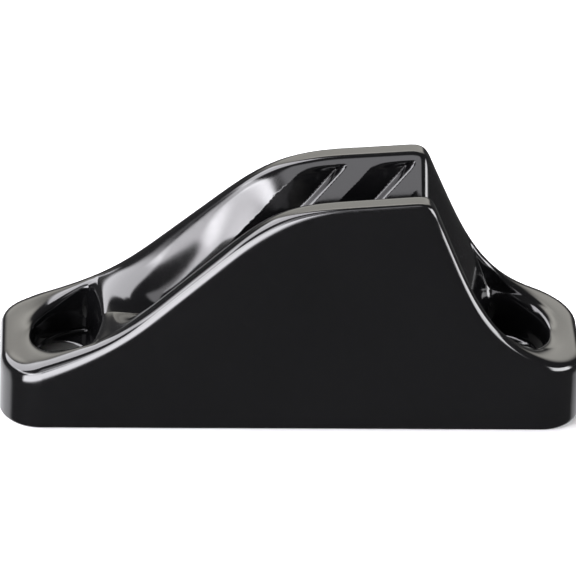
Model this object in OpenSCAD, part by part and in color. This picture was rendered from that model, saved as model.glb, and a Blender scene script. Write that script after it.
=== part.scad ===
// V-jaw line cleat for 3 to 6 mm line, with its two deck screws.
// Origin: middle of the face that sits on the deck. +X is the tail end, +Z is up.

/* [Body] */
// Overall length of the base
base_len = 66; // [60:1:80]
// Width across the base where it meets the deck
base_w = 17; // [15.5:0.5:20]
// Height of the walls at their highest corner
height = 29; // [26:0.5:36]
// Thickness of the end pads
pad_t = 7.3; // [6.5:0.1:8.5]
// Radius of the four plan corners
corner_r = 4.8; // [3:0.2:6]
// Inward lean of the two side faces, in degrees
side_lean = 4.2; // [2:0.1:5]

/* [Side outline] */
// Level length of the pad at the load end
load_pad = 3.1; // [2.6:0.1:5]
// First, gentle angle of the load ramp
ramp_angle = 20.5; // [18:0.5:25]
// Second, steeper angle of the load ramp
climb_angle = 43; // [38:1:48]
// Slight rise of the wall tops towards the tail
top_angle = 4.6; // [3:0.1:7]
// Length from the middle of the base to the high corner
peak_x = 14.6; // [12:0.2:17]
// Length of the wall tops before the blend into the load ramp
top_len = 16.9; // [15:0.1:19]
// Angle of the tail face
tail_angle = 67; // [62:1:72]
// Radius where the load pad turns up
toe_r = 5; // [2:0.5:6]
// Radius between the two angles of the load ramp
ramp_r = 36; // [20:1:38]
// Radius where the ramp rolls over on to the wall tops
brow_r = 16; // [8:1:18]
// Radius of the high corner
peak_r = 1.6; // [0.8:0.1:2.5]
// Radius where the tail face runs out into its pad
tail_r = 16; // [10:1:17]

/* [Jaw] */
// Width of the rim left on each wall top
rim_w = 1.9; // [1.5:0.1:2.4]
// Height of the bottom of the V above the deck
vee_z = 9.7; // [8.5:0.1:11]
// Width of the bottom of the V
vee_w = 2; // [1.6:0.1:3]
// Width of the bottom of the V at its two ends
throat_w = 5; // [4:0.2:8]
// Where the bottom of the V has narrowed to its full width, coming from the load end
throat_x = -12; // [-14:0.5:-10]
// Where the straight part of the jaw starts, at the load end
jaw_x0 = 1; // [-1:0.5:3]
// Where the straight part of the jaw stops, at the tail end
jaw_x1 = 14; // [12:0.5:15]
// Slanted grooves cut in each flank
grooves = 4; // [2:1:4]
// Distance from one groove to the next, along the jaw
groove_pitch = 7.2; // [6:0.1:8]
// Width of a groove, along the jaw
groove_w = 4.3; // [3:0.1:5]
// Depth of a groove below the flank
groove_d = 0.9; // [0.5:0.1:1.2]
// Lean of the grooves from upright, towards the load
groove_lean = 46; // [40:1:50]
// Tail edge of the groove nearest the load, at the full height of the walls
groove_x = 8.1; // [6:0.1:10]
// Height above the deck at which the grooves run out
groove_z = 14; // [13:0.5:16]
// Height left between the top of a groove and the rim
rim_lip = 1; // [0.6:0.1:1.5]

/* [Fixing] */
// Distance between the two screw centres
screw_span = 52; // [48:0.5:56]
// Diameter of a screw shank, and of its thread
screw_d = 3.5; // [3:0.1:4]
// Diameter of a screw head
head_d = 7; // [6:0.1:7.2]
// Height of the conical part of a screw head
head_h = 2.1; // [1.8:0.1:2.4]
// Length of a screw, head included
screw_len = 25; // [16:1:40]
// Gap between a shank and its hole, all round
hole_gap = 0.25; // [0.1:0.05:0.4]
// Thickness of the body under a screw well
well_floor = 3.6; // [3:0.1:5]
// Gap between a screw head and the wall of its well
well_gap = 0.2; // [0.1:0.05:0.3]
// Depth of a screw head below the floor of its well
head_sink = 0.15; // [0.05:0.05:0.3]
// Wall left between a well and the end of the body
end_wall = 3.2; // [2.8:0.1:3.3]
// Length of the plain part under a screw head
plain_len = 8; // [5:0.5:9]
// Length of the point of a screw
tip_len = 4; // [2:0.5:5]
// Distance from one thread to the next
thread_pitch = 1.6; // [1:0.1:2]
// Radius of a screw at the root of its thread
core_r = 1.25; // [1.1:0.05:1.4]
// Length of the cross in a screw head, from arm to arm
cross_len = 4; // [3:0.2:4.4]
// Width of the cuts of the cross
cross_w = 0.9; // [0.7:0.1:1.1]
// Depth of the cross
cross_depth = 1.4; // [1:0.1:1.8]

/* [Underside] */
// Wall left round the cored-out pockets under the body
core_wall = 2.6; // [2.2:0.1:3.5]
// Width of the rib along the middle of the underside
spine_w = 3; // [2:0.1:4]
// Width of each rib across the underside
cross_rib = 2; // [1.5:0.1:3]
// Pockets in each of the two rows
pockets = 4; // [2:1:5]
// Depth of the pockets
core_depth = 6; // [3:0.5:6.5]

/* [Hidden] */
$fn = 96;
slab = 0.05;
over = 1;
nylon = [0.05, 0.05, 0.055];
steel = [0.72, 0.73, 0.74];

screw_x = screw_span / 2;
well_r = head_d / 2 + well_gap;
hole_r = screw_d / 2 + hole_gap;
neck_r = (screw_d / 2 + hole_r) / 2;
seat_z = well_floor - head_sink;
end_x = base_len / 2;
nose_steps = 36;
arc_steps = 10;

// Half the width of the body, and of the jaw mouth inside its rims, at a height z.
function half_w(z) = base_w / 2 - z * tan(side_lean);
function mouth(z) = half_w(z) - rim_w;

// Where the channel floor ends at the well on one side, -1 for the load end and 1 for the tail.
function well_edge(side) = side * (screw_x - well_r);

// Where a line through a at angle ta meets a line through b at angle tb, in the side view.
function meet(a, ta, b, tb) =
    let (x = (b[1] - a[1] + a[0] * tan(ta) - b[0] * tan(tb)) / (tan(ta) - tan(tb)))
    [x, a[1] + (x - a[0]) * tan(ta)];

// Corner points of the side outline, each with the radius that rounds it.
peak = [peak_x, height];
brow = [peak_x - top_len, height - top_len * tan(top_angle)];
toe = [-end_x + load_pad, pad_t];
bend = meet(toe, ramp_angle, brow, climb_angle);
heel = meet(peak, -tail_angle, [end_x, pad_t], -8);
corners = [[-end_x, pad_t], toe, bend, brow, peak, heel, [end_x, pad_t]];
radii = [0, toe_r, ramp_r, brow_r, peak_r, tail_r, 0];

// Points of the arc of radius r that rounds corner b of the path a, b, c.
function rounded(a, b, c, r) =
    let (
        t0 = atan2(b[1] - a[1], b[0] - a[0]),
        t1 = atan2(c[1] - b[1], c[0] - b[0]),
        turn = t1 - t0,
        side = sign(turn),
        back = r * abs(tan(turn / 2)),
        start = b - back * [cos(t0), sin(t0)],
        mid = start + side * r * [-sin(t0), cos(t0)]
    )
    [for (i = [0:arc_steps])
        let (t = t0 + turn * i / arc_steps)
        mid + side * r * [sin(t), -cos(t)]];

top_line = [
    for (i = [0:len(corners) - 1])
        each (radii[i] == 0 ? [corners[i]]
            : rounded(corners[i - 1], corners[i], corners[i + 1], radii[i]))
];

// Height of the rim at a distance x from the middle of the base.
function rim_z(x) = lookup(x, top_line);

// Turns an outline drawn as [x, z] into a bar that runs across the body.
module across(w) {
    rotate([90, 0, 0]) linear_extrude(w, center = true) children();
}

// Turns an outline drawn as [y, z] into a bar that runs along the body from x0 to x1.
module along(x0, x1) {
    translate([x0, 0, 0]) rotate([90, 0, 90]) linear_extrude(x1 - x0) children();
}

module side_outline() {
    polygon(concat(top_line, [[end_x, 0], [-end_x, 0]]));
}

module end_outline() {
    top = height + over;
    polygon([[-half_w(0), 0], [half_w(0), 0], [half_w(top), top], [-half_w(top), top]]);
}

module plan_outline() {
    inset = [end_x - corner_r, base_w / 2 - corner_r];
    for (sx = [-1, 1], sy = [-1, 1])
        translate([sx * inset[0], sy * inset[1]]) circle(corner_r);
    square([base_len, base_w - 2 * corner_r], center = true);
    square([base_len - 2 * corner_r, base_w], center = true);
}

module block() {
    intersection() {
        across(base_w + over) side_outline();
        along(-end_x, end_x) end_outline();
        linear_extrude(height + over) plan_outline();
    }
}

// Section of the V where its flanks start at half width b and reach the rim at height z.
module vee_section(b, z) {
    top = height + 2 * over;
    polygon([[-b, vee_z], [b, vee_z], [mouth(z), z], [mouth(z), top],
             [-mouth(z), top], [-mouth(z), z]]);
}

// One end of the channel: a pocket with a rounded nose, and in its floor the seat and hole of
// the screw.
module well(x) {
    side = sign(x);
    nose = side * (end_x - end_wall) - well_edge(side);
    reach = mouth(vee_z);
    translate([well_edge(side), 0, well_floor]) linear_extrude(height)
        polygon([for (i = [0:nose_steps]) let (t = 90 - 180 * i / nose_steps)
            [nose * cos(t), reach * sin(t)]]);
    translate([x, 0, well_floor]) cylinder(h = height, r = well_r);
    translate([x, 0, -over]) cylinder(h = height, r = hole_r);
    translate([x, 0, seat_z]) cylinder(h = height, r = head_d / 2);
    translate([x, 0, seat_z - head_h])
        cylinder(h = head_h, r1 = screw_d / 2, r2 = head_d / 2);
}

// A stretch of the V between two stations, each [x, half the width of its bottom, flank top].
module vee_stretch(from, to) {
    hull() {
        along(from[0] - slab, from[0]) vee_section(from[1], from[2]);
        along(to[0], to[0] + slab) vee_section(to[1], to[2]);
    }
}

// The V keeps its bottom level, and its flanks reach the rims wherever the walls are lower.
load_end = [well_edge(-1), throat_w / 2, rim_z(well_edge(-1))];
narrow = [throat_x, vee_w / 2, rim_z(throat_x)];
jaw_start = [jaw_x0, vee_w / 2, rim_z(jaw_x0)];
jaw_stop = [jaw_x1, vee_w / 2, rim_z(jaw_x0)];
tail_end = [well_edge(1), throat_w / 2, rim_z(well_edge(1))];

// The part of the V that bears the grooves.
module jaw_channel() {
    vee_stretch(narrow, jaw_start);
    along(jaw_x0, jaw_x1) vee_section(jaw_start[1], jaw_start[2]);
}

module vee_channel() {
    vee_stretch(load_end, narrow);
    jaw_channel();
    vee_stretch(jaw_stop, tail_end);
}

// Slanted grooves, cut to one depth below both flanks and stopped short of the rims.
module flank_grooves() {
    lean = (height - groove_z) * tan(groove_lean);
    intersection() {
        for (side = [-1, 1])
            translate([0, side * groove_d, 0]) jaw_channel();
        translate([0, 0, -rim_lip]) across(base_w) side_outline();
        across(base_w)
            for (i = [0:grooves - 1]) {
                x = groove_x + i * groove_pitch;
                polygon([[x, height], [x - groove_w, height],
                         [x - groove_w - lean, groove_z], [x - lean, groove_z]]);
            }
    }
}

// Pockets under the body, in two rows either side of a spine.
module underside_cores() {
    x0 = well_edge(-1) + core_wall;
    step = (well_edge(1) - core_wall - x0 + cross_rib) / pockets;
    size = [step - cross_rib, half_w(0) - core_wall - spine_w / 2, core_depth + over];
    for (i = [0:pockets - 1], side = [-1, 1])
        translate([x0 + i * step, side < 0 ? -spine_w / 2 - size[1] : spine_w / 2, -over])
            cube(size);
}

module cleat_body() {
    color(nylon)
    difference() {
        block();
        vee_channel();
        flank_grooves();
        well(-screw_x);
        well(screw_x);
        underside_cores();
    }
}

// Countersunk tapping screw, drawn as one turned outline with a cross cut in its head. Its neck
// is thicker inside the body, and it has its full plain diameter from the deck down.
module deck_screw(x) {
    r = screw_d / 2;
    neck_z = -head_h * (head_d / 2 - neck_r) / (head_d / 2 - r);
    turns = floor((screw_len - head_h - plain_len - tip_len) / thread_pitch);
    thread = [for (i = [0:turns - 1]) each [
        [core_r, -head_h - plain_len - i * thread_pitch],
        [r, -head_h - plain_len - (i + 0.5) * thread_pitch]]];
    end = -head_h - plain_len - turns * thread_pitch;
    color(steel)
    translate([x, 0, seat_z])
        difference() {
            rotate_extrude()
                polygon(concat([[0, 0], [head_d / 2, 0], [neck_r, neck_z], [r, -seat_z]],
                    [[r, -head_h - plain_len + thread_pitch / 2]], thread,
                    [[core_r, end], [0, end - tip_len]]));
            for (turn = [0, 90])
                rotate([0, 0, turn])
                    translate([0, 0, over / 2 - cross_depth / 2])
                        cube([cross_len, cross_w, cross_depth + over], center = true);
        }
}

module load_end_screw() { deck_screw(-screw_x); }
module tail_end_screw() { deck_screw(screw_x); }

cleat_body();
load_end_screw();
tail_end_screw();
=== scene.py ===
import math

import bpy
from mathutils import Matrix, Vector


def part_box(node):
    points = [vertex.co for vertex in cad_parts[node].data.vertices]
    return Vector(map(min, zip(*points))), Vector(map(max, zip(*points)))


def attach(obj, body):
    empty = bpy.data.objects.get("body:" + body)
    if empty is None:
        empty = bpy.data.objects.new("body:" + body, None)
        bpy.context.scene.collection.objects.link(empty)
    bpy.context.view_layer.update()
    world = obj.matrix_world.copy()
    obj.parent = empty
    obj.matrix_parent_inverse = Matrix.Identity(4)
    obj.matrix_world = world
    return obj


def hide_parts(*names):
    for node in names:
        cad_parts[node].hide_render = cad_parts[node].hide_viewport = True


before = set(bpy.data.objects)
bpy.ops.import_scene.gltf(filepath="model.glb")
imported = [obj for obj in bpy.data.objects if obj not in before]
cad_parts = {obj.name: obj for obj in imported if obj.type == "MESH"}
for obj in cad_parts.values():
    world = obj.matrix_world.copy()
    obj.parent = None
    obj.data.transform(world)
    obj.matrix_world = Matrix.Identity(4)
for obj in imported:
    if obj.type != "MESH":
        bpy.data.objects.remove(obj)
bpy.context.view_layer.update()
scene = bpy.context.scene
print("frame loaded")

mm = 0.001
bodyLow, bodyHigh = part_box("cleat_body")
loadScrewLow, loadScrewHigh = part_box("load_end_screw")
tailScrewLow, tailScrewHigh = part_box("tail_end_screw")


# One node, with its settings and what its sockets are linked or set to.
def addNode(tree, kind, settings=None, inputs=None):
    node = tree.nodes.new(kind)
    for name, value in (settings or {}).items():
        setattr(node, name, value)
    for key, value in (inputs or {}).items():
        if isinstance(value, bpy.types.NodeSocket):
            tree.links.new(value, node.inputs[key])
        else:
            node.inputs[key].default_value = value
    return node


# sRGB hex to the linear values that Blender's colour sockets take, by the sRGB curve's own constants.
def linearColour(hexText):
    parts = [int(hexText[i:i + 2], 16) / 255 for i in (1, 3, 5)]
    return [c / 12.92 if c <= 0.04045 else ((c + 0.055) / 1.055) ** 2.4 for c in parts] + [1]


# Sums written on node sockets, so a tree reads like the formula it stands for.
class Num:
    def __init__(self, socket):
        self.socket = socket

    def do(self, operation, *others):
        values = [v.socket if isinstance(v, Num) else v for v in (self, *others)]
        tree = self.socket.id_data
        node = addNode(tree, "ShaderNodeMath", {"operation": operation}, dict(enumerate(values)))
        return Num(node.outputs[0])

    def __add__(self, other):
        return self.do("ADD", other)

    def __sub__(self, other):
        return self.do("SUBTRACT", other)

    def __mul__(self, other):
        return self.do("MULTIPLY", other)

    def __truediv__(self, other):
        return self.do("DIVIDE", other)

    def __neg__(self):
        return self.do("MULTIPLY", -1)


def above(value, limit):
    return value.do("MAXIMUM", limit)


def below(value, limit):
    return value.do("MINIMUM", limit)


# Joined and cut shapes, with the meeting edge rounded over a distance in millimetres.
def joined(a, b, soft):
    return a.do("SMOOTH_MIN", b, soft)


def common(a, b, soft):
    return a.do("SMOOTH_MAX", b, soft)


def cutAway(a, b, soft):
    return a.do("SMOOTH_MAX", -b, soft)


# 0 before start and 1 past stop, with soft ends. Start may be the greater of the two.
def rising(value, start, stop):
    node = addNode(value.socket.id_data, "ShaderNodeMapRange", {"interpolation_type": "SMOOTHSTEP"},
                   {"Value": value.socket, "From Min": start, "From Max": stop})
    return Num(node.outputs["Result"])


# 1 before start and 0 past stop.
def falling(value, start, stop):
    return -rising(value, start, stop) + 1


def length2(a, b):
    return (a * a + b * b).do("SQRT")


# The moulded body: sizes in millimetres, angles in degrees. A pair is where a change along the body, or
# up it, begins and ends. "Soft" is the distance over which two faces run into each other.
body = {
    # outline from above and from the side
    "endX": 33, "padThickness": 7.3, "cornerRadius": 4.8, "sideLean": 4.2, "endLean": 1.2,
    "loadPad": 3.1, "rampAngle": 20.5, "climbAngle": 43, "topAngle": 4.6, "tailAngle": 67,
    "tailPadFall": 8, "peakX": 14.6, "peakZ": 29, "topLength": 16.9, "browDrop": 1.36,
    "rampSoft": 3.0, "padSoft": 0.7, "browSoft": 5.6, "tailPadSoft": 14, "peakSoft": 2.2,
    "soleSoft": 0.5, "rimBrowSoft": 5.0, "rimTailSoft": 2.0,
    # edges: sharper along the wall tops, rounder on the load pad and round the wells
    "topBegins": (-4, 5), "topEnds": (13.5, 16), "loadPadFades": (-28, -19), "loadPadExtra": 0.8,
    "wellRimBegins": (23.5, 28),
    # V channel, wider at the load end and open at the tail
    "rimWidth": 1.9, "veeZ": 9.7, "veeHalf": 1.0, "throatHalf": 2.0, "leastDepth": 0.8,
    "loadOpens": (-11, -23), "tailOpens": (13, 23.5), "jawBegins": (-8, 2),
    "jawBottomSoft": 1.0, "veeBottomSoft": 1.6, "loadBottomExtra": 3,
    # grooves
    "grooves": 4, "groovePitch": 7.2, "grooveWidth": 4.0, "grooveDepth": 0.75, "grooveLean": 46,
    "grooveX": 3.0, "grooveEnd": 14, "grooveFade": 4, "grooveNarrows": 24, "grooveTaper": 0.26,
    "stepRun": 0.65, "firstGroove": (-0.05, 0.05), "lastStep": 0.1, "underRim": (-1.7, -0.7),
    "peakFade": 2, "peakGap": 0.6,
    # wells, screw holes and countersinks: a countersink widens by sinkRun for each millimetre up, and
    # sinkShare turns that into a distance square to its face
    "wellEdge": 21.9, "wellNose": 7.2, "wellFloor": 3.6, "stepBow": 0.8,
    "stepSoft": 1.6, "wellFloorSoft": 0.9, "channelNoseSoft": 0.3,
    "holeRadius": 2, "holeSoft": 0.3, "sinkRun": 1.75 / 2.1, "sinkShare": 0.77,
    "sinkLift": 0.2, "sinkSoft": 0.01,
    # mesh
    "voxel": 0.15, "blockMargin": 0.7, "keptFaces": 0.3,
    "polishSteps": 2, "nudge": 0.02, "farthestShift": 0.2, "leastSlope": 0.2,
}


# Distance above a line through (px, pz) that rises at this angle.
def lineAbove(x, z, px, pz, angle):
    a = math.radians(angle)
    return (z - pz) * math.cos(a) - (x - px) * math.sin(a)


# Height of that line at x.
def heightOf(x, px, pz, angle):
    return (x - px) * math.tan(math.radians(angle)) + pz


# Signed distance to the body's surface, negative inside the plastic.
def bodyField(x, y, z, size):
    d = body
    lean = math.radians(d["sideLean"])
    endLean = math.radians(d["endLean"])
    halfLength, halfWidth = size["Length"] / 2, size["Width"] / 2
    ax, ay = x.do("ABSOLUTE"), y.do("ABSOLUTE")
    toeX = -d["endX"] + d["loadPad"]
    browX, browZ = d["peakX"] - d["topLength"], d["peakZ"] - d["browDrop"]

    # plan outline with round corners, leaning in towards the top
    side = (ay - halfWidth + z * math.tan(lean)) * math.cos(lean) + d["cornerRadius"]
    end = (ax - halfLength + z * math.tan(endLean)) * math.cos(endLean) + d["cornerRadius"]
    plan = length2(above(side, 0), above(end, 0)) + below(above(side, end), 0) - d["cornerRadius"]

    # side outline: pad, ramp, climb, wall top, tail face, pad
    pad = z - d["padThickness"]
    ramp = lineAbove(x, z, toeX, d["padThickness"], d["rampAngle"])
    climb = lineAbove(x, z, browX, browZ, d["climbAngle"])
    wallTop = lineAbove(x, z, d["peakX"], d["peakZ"], d["topAngle"])
    tail = lineAbove(x, z, d["peakX"], d["peakZ"], -d["tailAngle"])
    tailPad = lineAbove(x, z, d["endX"], d["padThickness"], -d["tailPadFall"])
    front = joined(joined(ramp, climb, d["rampSoft"]), pad, d["padSoft"])
    crown = common(front, wallTop, d["browSoft"])
    crown = common(crown, joined(tail, tailPad, d["tailPadSoft"]), d["peakSoft"])
    onTop = rising(x, *d["topBegins"]) * falling(x, *d["topEnds"])
    edge = (size["Top edge round"] - size["Edge round"]) * onTop + size["Edge round"]
    edge = falling(x, *d["loadPadFades"]) * d["loadPadExtra"] + edge
    solid = common(plan, crown, edge)
    solid = cutAway(solid, z, d["soleSoft"])

    # height of the wall tops at this distance along the body
    rimZ = heightOf(x, toeX, d["padThickness"], d["rampAngle"]).do(
        "SMOOTH_MAX", heightOf(x, browX, browZ, d["climbAngle"]), d["rampSoft"])
    rimZ = above(rimZ, d["padThickness"]).do(
        "SMOOTH_MIN", heightOf(x, d["peakX"], d["peakZ"], d["topAngle"]), d["rimBrowSoft"])
    tailZ = above(heightOf(x, d["peakX"], d["peakZ"], -d["tailAngle"]), d["padThickness"])
    rimZ = rimZ.do("SMOOTH_MIN", tailZ, d["rimTailSoft"])

    # V channel between the walls: curved flanks at the load end, straight ones in the jaw
    mouth = halfWidth - rimZ * math.tan(lean) - d["rimWidth"]
    depth = above(rimZ - d["veeZ"], d["leastDepth"])
    loadSpread, tailSpread = rising(x, *d["loadOpens"]), rising(x, *d["tailOpens"])
    bottom = loadSpread * (d["throatHalf"] - d["veeHalf"]) + d["veeHalf"]
    up = above((z - d["veeZ"]) / depth, 0)
    throatFlank = (mouth - bottom) * up.do("POWER", size["Flank curve"]) + bottom
    jawSlope = tailSpread * size["Tail flare"] + size["Jaw slope"]
    jawFlank = (mouth - (rimZ - z) * jawSlope).do("SMOOTH_MAX", d["veeHalf"], d["jawBottomSoft"])
    inJaw = rising(x, *d["jawBegins"])
    flank = (jawFlank - throatFlank) * inJaw + throatFlank
    slope = (jawSlope - (mouth - bottom) / depth) * inJaw + (mouth - bottom) / depth

    # saw-tooth grooves: each one deepens slowly and steps back up at its tail side
    slant = x + (-z + d["peakZ"]) * math.tan(math.radians(d["grooveLean"]))
    place = slant - d["grooveX"]
    start = above(-z + d["grooveNarrows"], 0) * d["grooveTaper"]
    phase = place.do("FLOORED_MODULO", d["groovePitch"])
    width = d["grooveWidth"]
    lastEnd = d["groovePitch"] * d["grooves"]
    tooth = below(above(phase - start, 0) / (-start + width), 1) * falling(phase, width, width + d["stepRun"])
    tooth = tooth * rising(place, *d["firstGroove"]) * falling(place, lastEnd - d["lastStep"], lastEnd)
    tooth = tooth * rising(z, d["grooveEnd"], d["grooveEnd"] + d["grooveFade"])
    tooth = tooth * falling(z - rimZ, *d["underRim"])
    tooth = tooth * falling(x, d["peakX"] - d["peakFade"], d["peakX"] - d["peakGap"])
    square = (slope * slope + 1).do("INVERSE_SQRT")
    channel = (ay - flank) * square - tooth * size["Groove depth"]
    channel = cutAway(channel, z - d["veeZ"], loadSpread * d["loadBottomExtra"] + d["veeBottomSoft"])

    # pockets with round noses that take the screws
    reach = halfWidth - d["veeZ"] * math.tan(lean) - d["rimWidth"]
    pastEdge = above(ax - d["wellEdge"], 0) / d["wellNose"]
    across = ay / reach
    nose = (length2(pastEdge, across) - 1) * reach
    step = across * across * d["stepBow"] + d["wellEdge"] - ax
    pocket = common(common(nose, step, d["stepSoft"]), -z + d["wellFloor"], d["wellFloorSoft"])
    hollow = joined(common(channel, nose, d["channelNoseSoft"]), pocket, size["Lip round"])

    # holes for the screws, with their countersinks
    fromScrew = length2(ax - size["Screw span"] / 2, y)
    sink = fromScrew - (z - size["Head top"]) * d["sinkRun"] - size["Head radius"]
    sink = common(sink * d["sinkShare"], z - d["wellFloor"] - d["sinkLift"], d["sinkSoft"])
    hollow = joined(hollow, below(fromScrew - d["holeRadius"], sink), d["holeSoft"])

    # the rim is rounder at the wells and sharper on the wall tops
    rim = rising(ax, *d["wellRimBegins"]) * (size["Well rim round"] - size["Rim round"]) + size["Rim round"]
    rim = (size["Top edge round"] - size["Rim round"]) * onTop + rim
    return cutAway(solid, hollow, rim)


def addInputs(tree, sizes):
    for name, value in sizes.items():
        socket = tree.interface.new_socket(name, in_out="INPUT", socket_type="NodeSocketFloat")
        socket.default_value = value


# The sizes that both trees take as named inputs. The first two and the last three follow the frame.
bodySizes = {
    "Length": (bodyHigh.x - bodyLow.x) / mm, "Width": (bodyHigh.y - bodyLow.y) / mm,
    "Edge round": 1.5, "Top edge round": 0.5, "Rim round": 0.8, "Well rim round": 2.4, "Lip round": 3.2,
    "Flank curve": 1.6, "Jaw slope": 0.62, "Tail flare": 0.38, "Groove depth": body["grooveDepth"],
    "Head top": loadScrewHigh.z / mm, "Head radius": (loadScrewHigh.x - loadScrewLow.x) / 2 / mm,
    "Screw span": (tailScrewHigh.x + tailScrewLow.x - loadScrewHigh.x - loadScrewLow.x) / 2 / mm,
}
blockSizes = {**bodySizes, "Voxel": body["voxel"]}


# The field as a group of its own, read once for the voxels and again at each vertex.
def makeFieldGroup():
    tree = bpy.data.node_groups.new("cleatField", "GeometryNodeTree")
    tree.interface.new_socket("Place", in_out="INPUT", socket_type="NodeSocketVector")
    addInputs(tree, bodySizes)
    tree.interface.new_socket("Distance", in_out="OUTPUT", socket_type="NodeSocketFloat")
    given = addNode(tree, "NodeGroupInput")
    split = addNode(tree, "ShaderNodeSeparateXYZ", {}, {0: given.outputs["Place"]})
    x, y, z = (Num(s) for s in split.outputs)
    size = {name: Num(given.outputs[name]) for name in bodySizes}
    addNode(tree, "NodeGroupOutput", {}, {"Distance": bodyField(x, y, z, size).socket})
    return tree


fieldGroup = makeFieldGroup()


def readField(tree, given, place):
    inputs = {name: given.outputs[name] for name in bodySizes}
    node = addNode(tree, "GeometryNodeGroup", {"node_tree": fieldGroup}, {"Place": place, **inputs})
    return node.outputs["Distance"]


def newTree(name, sizes):
    tree = bpy.data.node_groups.new(name, "GeometryNodeTree")
    tree.interface.new_socket("Geometry", in_out="INPUT", socket_type="NodeSocketGeometry")
    addInputs(tree, sizes)
    tree.interface.new_socket("Geometry", in_out="OUTPUT", socket_type="NodeSocketGeometry")
    return tree, addNode(tree, "NodeGroupInput")


# Fills a box with voxels that hold one less the distance, and takes the skin where that is one.
def makeBlockTree():
    tree, given = newTree("cleatBlock", blockSizes)
    low = [c / mm - body["blockMargin"] for c in bodyLow]
    high = [c / mm + body["blockMargin"] for c in bodyHigh]
    place = addNode(tree, "GeometryNodeInputPosition").outputs[0]
    distance = Num(readField(tree, given, place))
    voxel = Num(given.outputs["Voxel"])
    nothing = voxel * 0     # lets a sum on sockets begin with a plain number
    counts = {f"Resolution {axis}": ((nothing + (high[i] - low[i])) / voxel).socket
              for i, axis in enumerate("XYZ")}
    cube = addNode(tree, "GeometryNodeVolumeCube", {}, {
        "Density": (-distance + 1).socket, "Background": 0.0, "Min": low, "Max": high, **counts})
    skin = addNode(tree, "GeometryNodeVolumeToMesh", {}, {"Volume": cube.outputs[0], "Threshold": 1.0})
    addNode(tree, "NodeGroupOutput", {}, {"Geometry": skin.outputs[0]})
    return tree


# Moves each vertex on to the true surface, takes the normal there, and turns millimetres to metres.
def makePolishTree(material):
    tree, given = newTree("cleatPolish", bodySizes)
    place = addNode(tree, "GeometryNodeInputPosition").outputs[0]
    here = Num(readField(tree, given, place))
    steps = []
    for axis in range(3):
        offset = [body["nudge"] if i == axis else 0 for i in range(3)]
        moved = addNode(tree, "ShaderNodeVectorMath", {"operation": "ADD"}, {0: place, 1: offset})
        there = Num(readField(tree, given, moved.outputs[0]))
        steps.append(((there - here) / body["nudge"]).socket)
    slope = addNode(tree, "ShaderNodeCombineXYZ", {}, dict(enumerate(steps))).outputs[0]

    # down the slope to where the distance is zero, but never far in one step
    square = addNode(tree, "ShaderNodeVectorMath", {"operation": "DOT_PRODUCT"}, {0: slope, 1: slope})
    share = -here / above(Num(square.outputs["Value"]), body["leastSlope"])
    share = below(above(share, -body["farthestShift"]), body["farthestShift"])
    shift = addNode(tree, "ShaderNodeVectorMath", {"operation": "SCALE"}, {0: slope, "Scale": share.socket})
    geometry = given.outputs["Geometry"]
    for _ in range(body["polishSteps"]):
        moved = addNode(tree, "GeometryNodeSetPosition", {}, {
            "Geometry": geometry, "Offset": shift.outputs[0]})
        geometry = moved.outputs[0]
    smooth = addNode(tree, "GeometryNodeSetShadeSmooth", {}, {"Geometry": geometry})
    normal = addNode(tree, "GeometryNodeSetMeshNormal", {"mode": "FREE", "domain": "POINT"},
                     {"Mesh": smooth.outputs[0], "Custom Normal": slope})
    scaled = addNode(tree, "GeometryNodeTransform", {}, {"Geometry": normal.outputs[0], "Scale": [mm] * 3})
    real = addNode(tree, "GeometryNodeRealizeInstances", {}, {"Geometry": scaled.outputs[0]})
    painted = addNode(tree, "GeometryNodeSetMaterial", {}, {
        "Geometry": real.outputs[0], "Material": material})
    addNode(tree, "NodeGroupOutput", {}, {"Geometry": painted.outputs[0]})
    return tree


# A modifier that runs the tree, its inputs set by their sockets' identifiers.
def addTreeModifier(piece, tree, sizes):
    modifier = piece.modifiers.new(tree.name, "NODES")
    modifier.node_group = tree
    for item in tree.interface.items_tree:
        if item.in_out == "INPUT" and item.name in sizes:
            modifier[item.identifier] = sizes[item.name]


# The holder's result as a plain mesh with no modifiers. The holder goes.
def plainPiece(name, holder):
    graph = bpy.context.evaluated_depsgraph_get()
    mesh = bpy.data.meshes.new_from_object(holder.evaluated_get(graph), preserve_all_data_layers=True,
                                           depsgraph=graph)
    mesh.name = name
    bpy.data.objects.remove(holder)
    piece = bpy.data.objects.new(name, mesh)
    scene.collection.objects.link(piece)
    return piece


mixA, mixB, mixColour = 6, 7, 2     # where a Mix node keeps its two colours and their mix


def newMaterial(name, settings):
    material = bpy.data.materials.new(name)
    material.use_nodes = True
    tree = material.node_tree
    shader = tree.nodes["Principled BSDF"]
    for socket, value in settings.items():
        shader.inputs[socket].default_value = value
    return material, tree, shader, addNode(tree, "ShaderNodeTexCoord").outputs["Object"]


# Injection-moulded black nylon with a high gloss: deep black, a clear sheen, faint moulding ripple.
nylonFinish = {
    "ior": 1.53, "dark": "#070708", "light": "#0d0d0e", "smooth": 0.07, "rough": 0.15,
    "flowScale": 60.0,      # flow marks about 17 mm apart, as the plastic fills the mould
    "grainScale": 900.0,    # a grain of about 1.1 mm, coarser than the mould's own so that it shows
    "ripple": 0.15, "rippleHeight": 0.0002,
}


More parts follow.
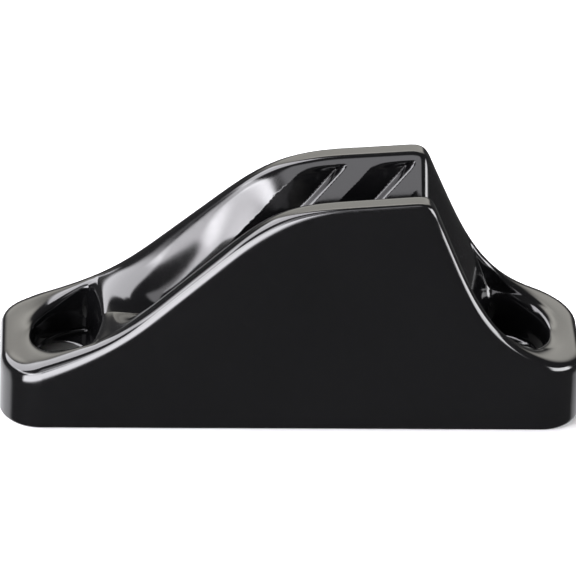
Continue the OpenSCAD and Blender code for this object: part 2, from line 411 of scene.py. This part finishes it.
def mouldedNylon():
    finish = nylonFinish
    material, tree, shader, place = newMaterial("moulded nylon", {"IOR": finish["ior"]})
    flow = addNode(tree, "ShaderNodeTexNoise", {}, {
        "Vector": place, "Scale": finish["flowScale"], "Detail": 3.0})
    tint = addNode(tree, "ShaderNodeMix", {"data_type": "RGBA"}, {
        "Factor": flow.outputs["Fac"],
        mixA: linearColour(finish["dark"]), mixB: linearColour(finish["light"])})
    grain = addNode(tree, "ShaderNodeTexNoise", {}, {
        "Vector": place, "Scale": finish["grainScale"], "Detail": 4.0})
    rough = addNode(tree, "ShaderNodeMapRange", {}, {
        "Value": grain.outputs["Fac"], "To Min": finish["smooth"], "To Max": finish["rough"]})
    ripple = addNode(tree, "ShaderNodeBump", {}, {
        "Height": flow.outputs["Fac"], "Strength": finish["ripple"], "Distance": finish["rippleHeight"]})
    tree.links.new(tint.outputs[mixColour], shader.inputs["Base Color"])
    tree.links.new(rough.outputs["Result"], shader.inputs["Roughness"])
    tree.links.new(ripple.outputs["Normal"], shader.inputs["Normal"])
    return material


# Stainless steel screws, turned and tumbled: pale grey and satin, with a grain that breaks up the gleam.
steelFinish = {
    "dark": "#a3a3a0", "light": "#b9b9b6", "smooth": 0.28, "rough": 0.42,
    "grainScale": 2500.0,   # a grain of about 0.4 mm, coarser than tumbling leaves so that it shows
}


def turnedSteel():
    finish = steelFinish
    material, tree, shader, place = newMaterial("turned stainless steel", {"Metallic": 1.0})
    grain = addNode(tree, "ShaderNodeTexNoise", {}, {
        "Vector": place, "Scale": finish["grainScale"], "Detail": 5.0})
    tint = addNode(tree, "ShaderNodeMix", {"data_type": "RGBA"}, {
        "Factor": grain.outputs["Fac"],
        mixA: linearColour(finish["dark"]), mixB: linearColour(finish["light"])})
    rough = addNode(tree, "ShaderNodeMapRange", {}, {
        "Value": grain.outputs["Fac"], "To Min": finish["smooth"], "To Max": finish["rough"]})
    tree.links.new(tint.outputs[mixColour], shader.inputs["Base Color"])
    tree.links.new(rough.outputs["Result"], shader.inputs["Roughness"])
    return material


# Matt studio card: near white, with hardly any gloss.
cardFinish = {
    "rough": 0.9, "specular": 0.1, "dark": "#f4f4f4", "light": "#f8f8f8",
    "fibreScale": 8.0,      # soft patches about 125 mm across
}


def studioCard():
    finish = cardFinish
    settings = {"Roughness": finish["rough"], "Specular IOR Level": finish["specular"]}
    material, tree, shader, place = newMaterial("studio card", settings)
    fibre = addNode(tree, "ShaderNodeTexNoise", {}, {"Vector": place, "Scale": finish["fibreScale"]})
    tint = addNode(tree, "ShaderNodeMix", {"data_type": "RGBA"}, {
        "Factor": fibre.outputs["Fac"],
        mixA: linearColour(finish["dark"]), mixB: linearColour(finish["light"])})
    tree.links.new(tint.outputs[mixColour], shader.inputs["Base Color"])
    return material


nylon = mouldedNylon()
steel = turnedSteel()

holder = bpy.data.objects.new("cleatHolder", bpy.data.meshes.new("cleatHolder"))
scene.collection.objects.link(holder)
addTreeModifier(holder, makeBlockTree(), blockSizes)
thin = holder.modifiers.new("fewer faces", "DECIMATE")
thin.ratio = body["keptFaces"]
thin.use_collapse_triangulate = True
addTreeModifier(holder, makePolishTree(nylon), bodySizes)
cleat = plainPiece("mouldedCleat", holder)
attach(cleat, "root")
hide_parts("cleat_body")
print("body made:", len(cleat.data.vertices), "vertices,", len(cleat.data.polygons), "faces")

for screwName in ("load_end_screw", "tail_end_screw"):
    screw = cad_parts[screwName]
    screw.data.materials.clear()
    screw.data.materials.append(steel)
print("screws finished")

# Angles in degrees, distance in metres, and lens, sensor and aim in millimetres.
camera = {
    "elevation": 34.0, "yaw": -3.7, "roll": 2.42, "distance": 0.5, "lens": 277.6, "sensor": 36,
    "aim": (-0.5, 0.0, 13.5),
}


def placeCamera():
    e, q, r = (math.radians(camera[k]) for k in ("elevation", "yaw", "roll"))
    back = Vector((math.sin(q) * math.cos(e), -math.cos(q) * math.cos(e), math.sin(e)))
    right = (-back).cross(Vector((0, 0, 1))).normalized()
    up = right.cross(-back)
    turnedRight = math.cos(r) * right + math.sin(r) * up
    turnedUp = -math.sin(r) * right + math.cos(r) * up
    lens = bpy.data.cameras.new("camera")
    lens.lens = camera["lens"]
    lens.sensor_width = camera["sensor"]
    eye = bpy.data.objects.new("camera", lens)
    scene.collection.objects.link(eye)
    turn = Matrix((turnedRight, turnedUp, back)).transposed().to_4x4()
    eye.matrix_world = Matrix.Translation(Vector(camera["aim"]) * mm + back * camera["distance"]) @ turn
    scene.camera = eye


placeCamera()
print("camera placed")

far = 3.0     # metres from the middle of the floor to its edges
floorMesh = bpy.data.meshes.new("floor")
floorMesh.from_pydata([(-far, -far, 0), (far, -far, 0), (far, far, 0), (-far, far, 0)], [], [(0, 1, 2, 3)])
floor = bpy.data.objects.new("floor", floorMesh)
floorMesh.materials.append(studioCard())
scene.collection.objects.link(floor)
floor.visible_glossy = False     # the gloss shows the light cards, not the floor

# The light comes from soft-edged cards all round, each given by the bearings and elevations that it
# spans, in degrees: 0 is the front, -90 the load end, 90 the tail end and 180 the back. "Soft" is how far
# its sides and then its ends fade, each way.
coolWhite, paleBlue, daylight, warmWhite = "#fbfaff", "#fbfbff", "#fdfdff", "#fbf8f0"
surround = {"base": 0.14, "backdrop": 1.0}
cards = {
    "frontLow": {
        "bearing": (-50, -1), "elevation": (-20, 4), "soft": (4, 3), "strength": 17, "tint": coolWhite},
    "frontTop": {
        "bearing": (-45, -13), "elevation": (4, 15.5), "soft": (3, 2), "strength": 11, "tint": coolWhite},
    "frontMild": {
        "bearing": (-29, 9), "elevation": (15, 44), "soft": (4, 5), "strength": 2.8, "tint": coolWhite},
    "loadSide": {
        "bearing": (-148, -68), "elevation": (27, 80), "soft": (4, 3), "strength": 9, "tint": coolWhite},
    "loadSlant": {
        "bearing": (-86, -68), "elevation": (9, 31), "soft": (3, 3), "strength": 11, "tint": coolWhite,
        "slant": 1.9, "slantTop": 32},     # below that elevation its sides lean 1.9 degrees per degree
    "tailSide": {
        "bearing": (38, 90), "elevation": (-8, 15), "soft": (8, 2), "strength": 13, "tint": daylight},
    "backHigh": {
        "bearing": (140, 208), "elevation": (14, 48), "soft": (12, 8), "strength": 2.8, "tint": warmWhite},
    "backTop": {
        "bearing": (150, 200), "elevation": (37, 50), "soft": (10, 4), "strength": 2.0, "tint": warmWhite},
    "loadLow": {
        "bearing": (-168, -88), "elevation": (-60, -12), "soft": (8, 8), "strength": 2.2, "tint": paleBlue},
    "tailLow": {
        "bearing": (100, 150), "elevation": (-60, -32), "soft": (8, 6), "strength": 2.0, "tint": paleBlue},
}


def paintSurround():
    world = bpy.data.worlds.new("studio")
    world.use_nodes = True
    tree = world.node_tree
    direction = addNode(tree, "ShaderNodeTexCoord").outputs["Generated"]
    split = addNode(tree, "ShaderNodeSeparateXYZ", {}, {0: direction})
    x, y, z = (Num(s) for s in split.outputs)
    halfTurn, fullTurn = 180, 360
    degrees = halfTurn / math.pi
    bearing = x.do("ARCTAN2", -y) * degrees
    elevation = z.do("ARCSINE") * degrees

    def inside(value, limits, soft):
        low, high = limits
        return rising(value, low - soft, low + soft) * rising(-value, -high - soft, -high + soft)

    light = addNode(tree, "ShaderNodeBackground", {}, {"Strength": surround["base"]}).outputs[0]
    for card in cards.values():
        sideSoft, endSoft = card["soft"]
        turned = bearing
        if "slant" in card:
            turned = bearing + (below(elevation, card["slantTop"]) - card["slantTop"]) * card["slant"]
        across = inside(turned, card["bearing"], sideSoft)
        if card["bearing"][1] > halfTurn:     # it runs on past the back, where bearings start again
            across = above(across, inside(bearing + fullTurn, card["bearing"], sideSoft))
        amount = across * inside(elevation, card["elevation"], endSoft) * card["strength"]
        shine = addNode(tree, "ShaderNodeBackground", {}, {
            "Color": linearColour(card["tint"]), "Strength": amount.socket})
        light = addNode(tree, "ShaderNodeAddShader", {}, {0: light, 1: shine.outputs[0]}).outputs[0]

    # the camera sees a plain pale backdrop in place of the cards
    plain = addNode(tree, "ShaderNodeBackground", {}, {"Strength": surround["backdrop"]}).outputs[0]
    seen = addNode(tree, "ShaderNodeLightPath").outputs["Is Camera Ray"]
    mixed = addNode(tree, "ShaderNodeMixShader", {}, {0: seen, 1: light, 2: plain})
    tree.links.new(mixed.outputs[0], tree.nodes["World Output"].inputs["Surface"])
    scene.world = world


paintSurround()
scene.view_settings.view_transform = "Standard"
print("scene lit")
